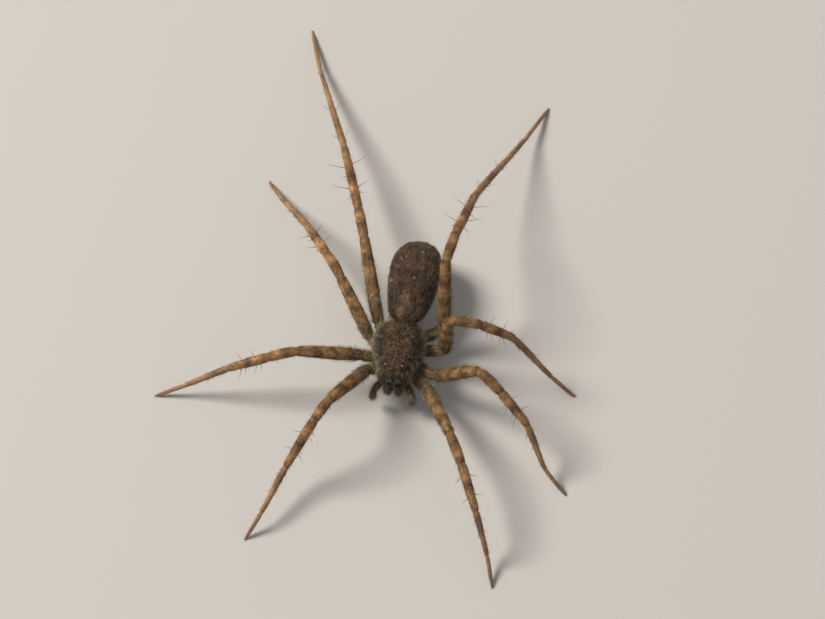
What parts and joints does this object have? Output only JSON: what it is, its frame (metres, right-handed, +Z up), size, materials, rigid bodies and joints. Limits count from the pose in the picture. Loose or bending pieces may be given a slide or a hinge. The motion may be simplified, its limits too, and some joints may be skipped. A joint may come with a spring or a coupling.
{
  "type": "wolf spider",
  "caption": "Wolf spider standing with long legs spread, a still life-size model with a furry mottled body and banded, bristled legs.",
  "frame": {"origin": "centre of the bounding box on the floor that the feet stand on", "axes": "+Z up, the head towards -Y and the abdomen towards +Y, the spider's left towards +X"},
  "size_m": [0.0234, 0.0328, 0.0066],
  "materials": {
    "carapace": "matte, furred",
    "abdomen": "matte, furred",
    "underside": "matte, furred",
    "jaws": "satin",
    "palps": "matte, furred",
    "legs": "matte, furred",
    "feet": "satin, bristled",
    "eyes": "gloss"
  },
  "bodies": {
    "root": {"carapace": "carapace", "sternum": "underside", "mouthparts": "jaws", "chelicera_L": "jaws", "chelicera_R": "jaws", "pedicel": "underside", "abdomen": "abdomen", "spinnerets": "underside", "eye_AME_L": "eyes", "eye_ALE_L": "eyes", "eye_PME_L": "eyes", "eye_PLE_L": "eyes", "palp_L_femur": "palps", "palp_L_tarsus": "palps", "leg_L1_coxa": "legs", "leg_L1_femur": "legs", "leg_L1_tibia": "legs", "leg_L1_metatarsus": "feet", "leg_L1_tarsus": "feet", "leg_L2_coxa": "legs", "leg_L2_femur": "legs", "leg_L2_tibia": "legs", "leg_L2_metatarsus": "feet", "leg_L2_tarsus": "feet", "leg_L3_coxa": "legs", "leg_L3_femur": "legs", "leg_L3_tibia": "legs", "leg_L3_metatarsus": "feet", "leg_L3_tarsus": "feet", "leg_L4_coxa": "legs", "leg_L4_femur": "legs", "leg_L4_tibia": "legs", "leg_L4_metatarsus": "feet", "leg_L4_tarsus": "feet", "eye_AME_R": "eyes", "eye_ALE_R": "eyes", "eye_PME_R": "eyes", "eye_PLE_R": "eyes", "palp_R_femur": "palps", "palp_R_tarsus": "palps", "leg_R1_coxa": "legs", "leg_R1_femur": "legs", "leg_R1_tibia": "legs", "leg_R1_metatarsus": "feet", "leg_R1_tarsus": "feet", "leg_R2_coxa": "legs", "leg_R2_femur": "legs", "leg_R2_tibia": "legs", "leg_R2_metatarsus": "feet", "leg_R2_tarsus": "feet", "leg_R3_coxa": "legs", "leg_R3_femur": "legs", "leg_R3_tibia": "legs", "leg_R3_metatarsus": "feet", "leg_R3_tarsus": "feet", "leg_R4_coxa": "legs", "leg_R4_femur": "legs", "leg_R4_tibia": "legs", "leg_R4_metatarsus": "feet", "leg_R4_tarsus": "feet"}
  },
  "joints": []
}
